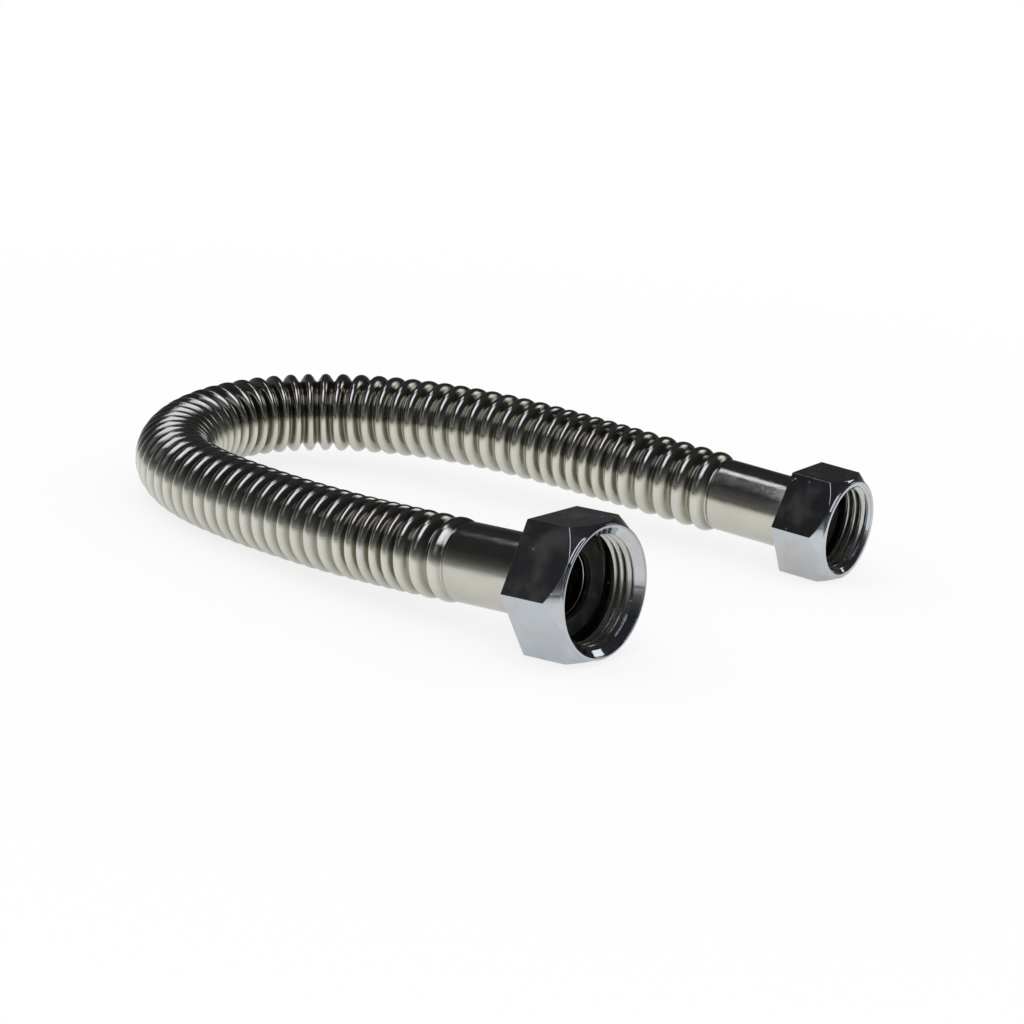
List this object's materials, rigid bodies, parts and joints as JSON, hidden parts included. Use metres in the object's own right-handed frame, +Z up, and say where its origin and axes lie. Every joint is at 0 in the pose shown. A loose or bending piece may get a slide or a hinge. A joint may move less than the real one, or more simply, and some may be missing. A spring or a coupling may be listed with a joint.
{
  "type": "flexible pipe connector",
  "caption": "Corrugated steel pipe bent into a U, with a swivelling hex union nut and a flat sealing washer at each end.",
  "frame": {"origin": "centre of the bounding box in plan, on the floor the connector lies on", "axes": "+Z up, +X the way both nuts open, +Y from the larger nut towards the smaller one"},
  "size_m": [0.1688, 0.1288, 0.0307],
  "materials": {
    "pipe_steel": "bright stainless steel",
    "large_nut_plating": "bright chrome plate on brass",
    "small_nut_plating": "bright chrome plate on brass",
    "large_washer_rubber": "smooth black rubber",
    "small_washer_rubber": "smooth black rubber"
  },
  "bodies": {
    "pipe": {"corrugated_pipe": "pipe_steel", "sealing_washer_large": "large_washer_rubber", "sealing_washer_small": "small_washer_rubber"},
    "large_nut": {"union_nut_large": "large_nut_plating"},
    "small_nut": {"union_nut_small": "small_nut_plating"}
  },
  "joints": [
    {"name": "large_nut_swivel", "type": "hinge", "parent": "pipe", "child": "large_nut", "pos_m": [0.0686, -0.04704, 0.01498], "axis": [0.9983, 0, 0.0586], "continuous": true},
    {"name": "small_nut_swivel", "type": "hinge", "parent": "pipe", "child": "small_nut", "pos_m": [0.0676, 0.04963, 0.01252], "axis": [0.9947, 0.0923, -0.0451], "continuous": true}
  ]
}
